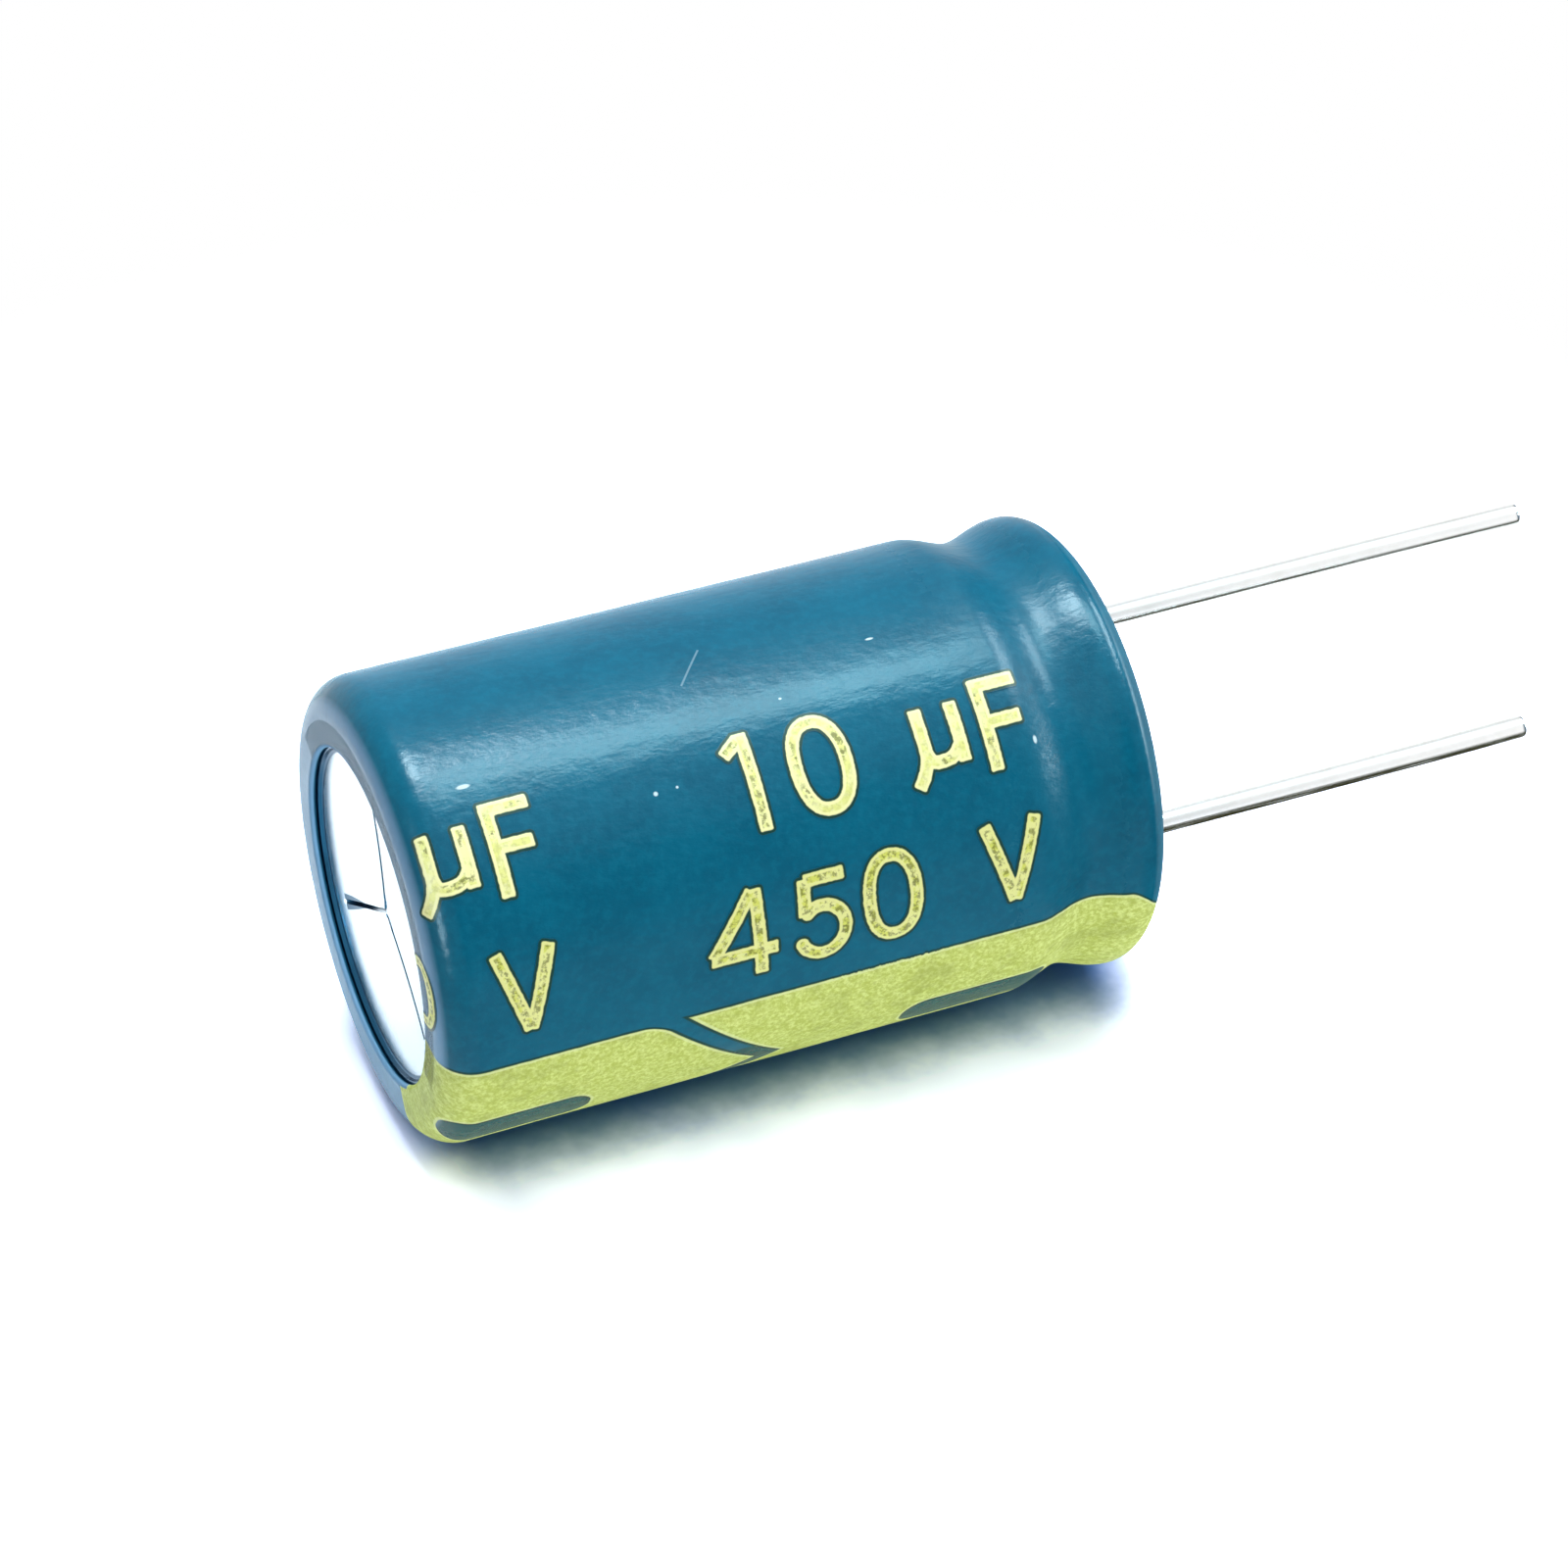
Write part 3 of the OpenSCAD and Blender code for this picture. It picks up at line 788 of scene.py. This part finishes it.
def build_can():
    """The can as one closed skin turned about Z: vent panel, step, shoulder, side with its groove, curled
    rim, and the same way back inside. The panel's outer face is cut in along its scored lines."""
    radii = np.concatenate([[0.0, 0.02, 0.045, 0.07, 0.1, 0.15], np.linspace(0.25, SCORE_L - 0.15, 26),
                            [SCORE_L - 0.08, SCORE_L, SCORE_L + 0.06],
                            np.linspace(SCORE_L + 0.14, VENT_R, 8)])
    outer = joined(
        np.stack([radii, dish_height(radii)], axis=1),
        [(VENT_R + 0.03, dish_height(VENT_R) - 0.02), (VENT_R + 0.06, CAN_Z + 0.012),
         (VENT_R + 0.09, CAN_Z)],
        arc((CAN_R - SHOULDER_R, CAN_Z + SHOULDER_R), SHOULDER_R, -90, 0, 14),
        groove(BEAD_H, 0.0, 40),
        arc((CURL_X, CURL_Z), CURL_R, 0, 180, 24),
        [(CURL_X - CURL_R, CURL_Z - CURL_BITE), (CURL_X - CURL_R + CAN_WALL, CURL_Z - CURL_BITE)])
    corner = SHOULDER_R - CAN_WALL
    inner = joined(
        np.stack([radii[::6], dish_height(radii[::6]) + END_WALL], axis=1),
        [(VENT_R + 0.05, CAN_Z + END_WALL)],
        arc((CAN_R - SHOULDER_R, CAN_Z + END_WALL + corner), corner, -90, 0, 8),
        groove(BEAD_H, -CAN_WALL, 30),
        arc((CURL_X, CURL_Z), CURL_R - CAN_WALL, 0, 180, 12))
    profile = np.concatenate([outer, inner[::-1]])
    angle = np.stack([score_columns(min(r, SCORE_L)) for r in profile[:, 0]])
    x = profile[:, 0][:, None] * np.cos(angle)
    y = profile[:, 0][:, None] * np.sin(angle)
    z = np.repeat(profile[:, 1][:, None], angle.shape[1], axis=1)
    panel = len(radii)
    z[:panel] += SCORE_H * score_depth(x[:panel], y[:panel])
    points = np.stack([x, y, z], axis=2).reshape(-1, 3)
    faces = grid_faces(len(profile), angle.shape[1], False, True, poles=(0, len(profile) - 1))
    can = make_mesh("can_shell", points, faces, smooth_angle=32.0)
    can.data.materials.append(metal_finish("bright_can", (0.96, 0.965, 0.97), (0.88, 0.89, 0.90), 0.14,
                                           scale=2.2, depth=0.004, scored=True))
    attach(can, BODY)
    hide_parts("can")


# The bung

def build_bung():
    """The rubber bung as a closed skin on a grid of angle and radius. Its top face dips round each wire by
    a cone, depth - (distance - floor radius) / 2, and its side follows the groove."""
    columns = 240
    outset = -CAN_WALL - FIT_GAP
    step_z = CURL_Z - CURL_BITE - FIT_GAP
    plateau = CURL_X - CURL_R - FIT_GAP
    side = groove(BEAD_H, outset, 40)
    side = side[side[:, 1] < step_z]
    edge_r = 0.06
    radii = np.concatenate([np.linspace(0, 1.8, 7)[:-1], np.linspace(1.8, 3.2, 40),
                            np.linspace(3.3, plateau - edge_r, 7)])
    profile = joined(
        [(0.0, BUNG_Z), (side[0][0] - BUNG_CHAMFER, BUNG_Z), (side[0][0], BUNG_Z + BUNG_CHAMFER)],
        side, [(side[-1][0], step_z), (plateau, step_z)],
        arc((plateau - edge_r, BUNG_TOP - edge_r), edge_r, 0, 90, 6),
        np.stack([radii[::-1], np.full(len(radii), BUNG_TOP)], axis=1))
    points = turned(profile, columns)
    top = points[-len(radii):]
    away = np.hypot(np.abs(top[..., 0]) - LEAD_X, top[..., 1])
    top[..., 2] -= np.clip(DIMPLE_H - np.maximum(away - DIMPLE_FLOOR_R, 0) * 0.5, 0, DIMPLE_H)
    faces = grid_faces(len(profile), columns, False, True, poles=(0, len(profile) - 1))
    bung = make_mesh("bung_rubber", points.reshape(-1, 3), faces, smooth_angle=35.0)
    bung.data.materials.append(matt_finish("black_rubber", (0.030, 0.030, 0.032), (0.016, 0.016, 0.018),
                                           0.55, scale=2.2, depth=0.012, level=0.35))
    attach(bung, BODY)
    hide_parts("bung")


# The leads

LEAD_BOW = 0.03


def build_lead(name, x, free_l, tin):
    """A round wire: its root tapers from the stem up to the rim, the free wire bows by a few hundredths of
    a millimetre, and the cut end is pinched a little and has a rounded edge."""
    columns = 40
    end = BODY_L + free_l
    z = np.concatenate([[STEM_TOP], np.linspace(STEM_TOP, BODY_L, 8),
                        np.linspace(BODY_L + 0.2, end - 0.12, 70),
                        end - np.array([0.06, 0.025, 0.008, 0.0]), [end]])
    radius = np.interp(z, [STEM_TOP, BODY_L], [ROOT_R, WIRE_R])
    radius[0] = 0.0
    radius[-5:-1] = WIRE_R - np.array([0.004, 0.012, 0.024, 0.045])
    radius[-1] = 0.0
    points = turned(np.stack([radius, z], axis=1), columns)
    share = np.clip((z - BODY_L) / free_l, 0, 1)[:, None]
    bow = LEAD_BOW * np.sin(np.pi * share) * share
    points[..., 0] += bow * math.copysign(1, x) + x
    points[..., 1] += 0.6 * bow
    faces = grid_faces(len(z), columns, False, True, poles=(0, len(z) - 1))
    lead = make_mesh(name, points.reshape(-1, 3), faces)
    lead.data.materials.append(tin)
    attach(lead, BODY)
    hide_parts(name.replace("_wire", "_lead"))


INK = ink_finish()
build_sleeve()
build_print("rating_print", ROW_ONE, ROW_ONE_DEG, (0.0, -PRINT_PERIOD), 0.0)
build_print("voltage_print", ROW_TWO, ROW_TWO_DEG, (0.0, -PRINT_PERIOD), 1.0)
build_can()
build_bung()
tin = metal_finish("bright_tin", (0.99, 0.99, 0.98), (0.94, 0.94, 0.92), 0.10, (1.0, 1.0, 0.12), 6.0,
                   0.0012)
build_lead("anode_wire", -LEAD_X, ANODE_L, tin)
build_lead("cathode_wire", LEAD_X, CATHODE_L, tin)

# The inner pieces keep their solids
INSIDE = {
    "anode_tab": metal_finish("rolled_tab", (0.74, 0.75, 0.76), (0.52, 0.53, 0.54), 0.34, (1, 1, 0.1), 5.0),
    "anode_foil": matt_finish("etched_grey", (0.36, 0.37, 0.38), (0.20, 0.21, 0.22), 0.62, 6.0, 0.006),
    "cathode_foil": metal_finish("plain_bright", (0.78, 0.79, 0.80), (0.6, 0.61, 0.62), 0.3, (1, 1, 0.2),
                                 4.0),
    "separator_inner": matt_finish("soaked_fibre", (0.60, 0.48, 0.26), (0.42, 0.32, 0.15), 0.5, 4.0, 0.01,
                                   0.5, (1, 1, 0.35)),
    "closing_tape": matt_finish("amber_tape", (0.55, 0.36, 0.08), (0.40, 0.25, 0.05), 0.3, 1.5, 0.004, 0.5),
}
INSIDE["cathode_tab"] = INSIDE["anode_tab"]
INSIDE["separator_outer"] = INSIDE["separator_inner"]
for node, material in INSIDE.items():
    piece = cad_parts[node]
    piece.data.materials.clear()
    piece.data.materials.append(material)

# The stage: the photographed table is a sheet that stands upright beside the sleeve, seen from its own
# side only

# Degrees round the part of the line where the table touches the sleeve
TABLE_DEG = 63.0
TABLE_NORMAL = Vector((-math.cos(math.radians(TABLE_DEG)), -math.sin(math.radians(TABLE_DEG)), 0.0))
PAPER = (0.86, 0.86, 0.86)
PAPER_SHADE = (0.128, 0.232, 0.50)
TABLE_SEEN = (1.90, 1.92, 2.30)
FLOOR_SEEN = (1.6, 1.7, 1.75)
# Painted reflections, the colours that gloss finds on the table: beyond the part, on the camera's side of
# it, under the vent end, past the rim, and in the strip beside the leads
SHINE_BEYOND = (1.1, 1.35, 1.45)
SHINE_NEAR = (0.75, 0.8, 0.85)
SHINE_VENT = (1.22, 1.26, 1.28)
SHINE_RIM = (1.3, 1.3, 1.3)
SHINE_STRIP = (0.03, 0.027, 0.01)


def stage_finish(name, seen, fade_from, fade_to, centre, contact=None):
    """White paper that is seen from its front only and thins out away from the part. For the camera and for
    gloss it takes the colour seen, so that its lit part is white, and close to the line where the part
    touches it (distance to a segment) a painted shadow in a plain, mottled shade, so that the shadow there
    stays dark. For gloss it has painted reflections, and gloss finds it dark in a broken strip beside the
    leads."""
    paper = Finish(name)
    spot = paper.place()
    away = paper.node("ShaderNodeVectorMath", {"operation": "DISTANCE"}, {0: spot, 1: centre}, out=1)
    facing = paper.node("ShaderNodeNewGeometry", out=6)
    shown = (1 - away.rise(fade_from, fade_to)) * (1 - facing)
    clear = paper.node("ShaderNodeBsdfTransparent")
    colour = seen
    glossed = paper.node("ShaderNodeLightPath", out=3)
    if contact:
        x, y, z = paper.split(spot)
        across = x * -TABLE_NORMAL.y + y * TABLE_NORMAL.x
        past = (contact[0] - z).most(z - contact[1]).most(0.0)
        # Beyond the part the shade is a third as wide
        beside = across.most(across * -3.0)
        reach = (beside * beside + past * past * 8.0).root()
        blotch = paper.noise(spot, 0.9, 3.0, 0.6)
        reach = reach + (blotch - 0.5) * 0.9
        # Painted contact shadow: the paper's colour goes over from PAPER_SHADE near the part to the colour
        # seen farther off
        colour = paper.blend(reach.rise(2.1, 5.6), PAPER_SHADE, seen)
        # Painted reflections: gloss finds these colours, with a dark broken strip that the wires mirror as
        # dark lines
        broken = 0.6 + 0.4 * paper.noise(spot, 0.8, 2.0, 0.6).rise(0.34, 0.44)
        strip = across.rise(0.2, 1.0) * (1 - across.rise(16.0, 20.0)) * z.rise(16.5, 17.5) * broken
        shine = paper.blend(across.rise(-1.0, 1.0), SHINE_BEYOND, SHINE_NEAR)
        shine = paper.blend(z.rise(-1.0, 1.5), SHINE_VENT, shine)
        shine = paper.blend(z.rise(16.0, 17.0), shine, SHINE_RIM)
        shine = paper.blend(strip, shine, SHINE_STRIP)
        colour = paper.blend(glossed, colour, shine)
    looked_at = paper.node("ShaderNodeLightPath").most(glossed)
    colour = paper.blend(looked_at, PAPER, colour)
    lit = paper.node("ShaderNodeBsdfDiffuse", {}, {"Color": colour})
    mixed = paper.node("ShaderNodeMixShader", {}, {0: shown, 1: clear, 2: lit})
    output = next(n for n in paper.tree.nodes if n.type == "OUTPUT_MATERIAL")
    paper.tree.links.new(mixed.socket, output.inputs["Surface"])
    return paper.material


def build_sheet(name, centre, across, up, size, finish):
    """A flat square sheet round a centre, spanned by two directions."""
    centre, across, up = (np.array(v, float) for v in (centre, across, up))
    corners = np.array([(-1, -1), (1, -1), (1, 1), (-1, 1)]) * size
    points = centre + corners[:, :1] * across + corners[:, 1:] * up
    mesh = bpy.data.meshes.new(name)
    mesh.from_pydata((points * MM).tolist(), [], [(0, 1, 2, 3)])
    mesh.update()
    sheet = bpy.data.objects.new(name, mesh)
    bpy.context.scene.collection.objects.link(sheet)
    sheet.data.materials.append(finish)
    sheet.visible_shadow = False
    return sheet


touch = -TABLE_NORMAL * SLEEVE_R
middle = (touch.x, touch.y, MIDDLE_Z)
build_sheet("table_sheet", middle, (-TABLE_NORMAL.y, TABLE_NORMAL.x, 0), (0, 0, 1), 60,
            stage_finish("table_paper", TABLE_SEEN, 14.0, 34.0, middle, (1.8, 15.5)))
floor = build_sheet("floor_sheet", (0, 0, 0), (1, 0, 0), (0, 1, 0), 80,
                    stage_finish("floor_paper", FLOOR_SEEN, 16.0, 45.0, (0.0, 0.0, 0.0)))
floor.visible_diffuse = floor.visible_glossy = False


# Light

class Sky(Finish):
    """The world's shader tree, with the same ways to add nodes."""

    def __init__(self, name):
        world = bpy.data.worlds.new(name)
        world.use_nodes = True
        bpy.context.scene.world = world
        self.tree = world.node_tree
        self.tree.nodes.clear()


# Direction from the part to the camera
CAMERA_WAY = (0.369, -0.878, -0.303)
WHITE = (1.0, 1.0, 1.0)


def build_world():
    """White for the camera and through glass, softer for diffuse light. For gloss it is white with a pale
    blue belt, dark overhead, dim round the camera and darker in two upright bands that draw the lines
    along the leads."""
    sky = Sky("studio")
    x, y, z = sky.split(sky.node("ShaderNodeTexCoord"))
    flat = (x * x + y * y).root()

    def band(azimuth, narrow, wide):
        """1 within narrow degrees of an azimuth and 0 beyond wide degrees."""
        a = math.radians(azimuth)
        toward = (x * math.cos(a) + y * math.sin(a)) / flat
        return toward.rise(math.cos(math.radians(wide)), math.cos(math.radians(narrow)))

    belt = z.rise(0.0, 0.12) * (1 - z.rise(0.30, 0.37))
    gloss = sky.blend(belt, WHITE, (0.85, 1.10, 1.32))
    gloss = sky.blend(z.rise(0.53, 0.65) * 0.9, gloss, (0.03, 0.08, 0.14))
    behind = x * CAMERA_WAY[0] + y * CAMERA_WAY[1] + z * CAMERA_WAY[2]
    dim = behind.rise(0.55, 0.9) * (1 - z.rise(0.345, 0.375)) * z.rise(-0.25, 0.0)
    gloss = sky.blend(dim, gloss, (0.04, 0.10, 0.13))
    above = z.rise(0.3, 0.38)
    gloss = sky.blend(band(42.0, 26.0, 38.0) * above, gloss, (0.05, 0.06, 0.03))
    gloss = sky.blend(band(-166.0, 10.0, 20.0) * above * 0.35, gloss, (0.2, 0.2, 0.2))
    looked_at, glossed, through = (sky.node("ShaderNodeLightPath", out=i) for i in (0, 3, 6))
    colour = sky.blend(glossed, (0.90, 0.96, 1.0), gloss)
    colour = sky.blend(looked_at.most(through), colour, WHITE)
    strength = 0.16 + 0.84 * looked_at.most(glossed).most(through)
    shown = sky.node("ShaderNodeBackground", {}, {"Color": colour, "Strength": strength})
    output = sky.tree.nodes.new("ShaderNodeOutputWorld")
    sky.tree.links.new(shown.socket, output.inputs[0])


def build_lamp(name, azimuth, elevation, distance, size_x, size_y, watts, colour=(1, 1, 1)):
    """A soft rectangular lamp, aimed at the middle of the can and with its second side nearest to Z."""
    a, e = math.radians(azimuth), math.radians(elevation)
    aim = Vector((0, 0, MIDDLE_Z * MM))
    back = Vector((math.cos(a) * math.cos(e), math.sin(a) * math.cos(e), math.sin(e)))
    light = bpy.data.lights.new(name, "AREA")
    light.shape = "RECTANGLE"
    light.size, light.size_y = size_x * MM, size_y * MM
    light.energy = watts
    light.color = colour
    lamp = bpy.data.objects.new(name, light)
    bpy.context.scene.collection.objects.link(lamp)
    lamp.location = aim + back * distance * MM
    across = Vector((0, 0, 1)).cross(back).normalized()
    turned_to = Matrix((across, back.cross(across), back)).transposed().to_4x4()
    lamp.matrix_world = Matrix.Translation(lamp.location) @ turned_to
    lamp.visible_camera = False
    return lamp


build_world()
# Lamps that light the surface and are left out of its gloss
for lamp in (
        build_lamp("key_box", -87.0, 2.0, 300, 160, 240, 0.47),
        build_lamp("sky_box", -140.0, 10.0, 300, 220, 220, 0.95, (0.85, 0.95, 1.0)),
        build_lamp("vent_fill", -100.0, -66.0, 300, 160, 160, 0.07),
        build_lamp("under_fill", -8.0, 6.0, 300, 160, 160, 0.22),
        build_lamp("back_fill", 100.0, 35.0, 320, 160, 160, 0.30),
        build_lamp("top_fill", 0.0, 88.0, 320, 160, 160, 0.30)):
    lamp.visible_glossy = False

# Boxes that only draw highlights: the long streak on the side, the lines and the patch on the rim, the
# slanted streaks over the groove, and the vent end's lip
PALE_BLUE = (0.75, 0.95, 1.0)
for lamp in (
        build_lamp("streak_box", -119.5, 18.0, 300, 78, 70, 0.60, (0.62, 0.98, 1.0)),
        build_lamp("rim_strip", -95.0, 83.0, 300, 150, 50, 3.6, PALE_BLUE),
        build_lamp("slope_box", -130.0, 0.0, 300, 80, 120, 2.0, PALE_BLUE),
        build_lamp("hump_box", -118.0, 42.0, 300, 170, 50, 1.4, PALE_BLUE),
        build_lamp("lip_box", -67.0, -58.0, 300, 200, 60, 1.2, PALE_BLUE)):
    lamp.visible_diffuse = False

# The camera, from a fit to the outline, with lengths in millimetres
TILT = math.radians(17.66)
ROLL = math.radians(14.43)
AZIMUTH = math.radians(-67.237)
DISTANCE = 103.673
AIM_PIXEL = (739.16, 841.126)
FOCAL_PIXELS = 5000.0
PHOTO_PIXELS = 1600
SENSOR = 36.0


def build_camera():
    """The photograph's camera: it lies on its side, and the middle of the can is at the aim pixel."""
    level_x, level_y = math.cos(AZIMUTH), math.sin(AZIMUTH)
    ahead = Vector((-math.cos(TILT) * level_x, -math.cos(TILT) * level_y, math.sin(TILT)))
    axis = Vector((math.sin(TILT) * level_x, math.sin(TILT) * level_y, math.cos(TILT)))
    side = Vector((level_y, -level_x, 0.0))
    right = math.cos(ROLL) * axis - math.sin(ROLL) * side
    up = math.sin(ROLL) * axis + math.cos(ROLL) * side
    off_x = (AIM_PIXEL[0] - PHOTO_PIXELS / 2) / FOCAL_PIXELS
    off_y = (AIM_PIXEL[1] - PHOTO_PIXELS / 2) / FOCAL_PIXELS
    spot = Vector((0, 0, MIDDLE_Z)) - DISTANCE * (ahead + off_x * right - off_y * up)
    data = bpy.data.cameras.new("photo_camera")
    data.sensor_width = SENSOR
    data.lens = SENSOR * FOCAL_PIXELS / PHOTO_PIXELS
    data.clip_start, data.clip_end = 0.001, 10.0
    camera = bpy.data.objects.new("photo_camera", data)
    bpy.context.scene.collection.objects.link(camera)
    camera.matrix_world = Matrix.Translation(spot * MM) @ Matrix((right, up, -ahead)).transposed().to_4x4()
    bpy.context.scene.camera = camera


build_camera()
bpy.context.scene.view_settings.view_transform = "Standard"
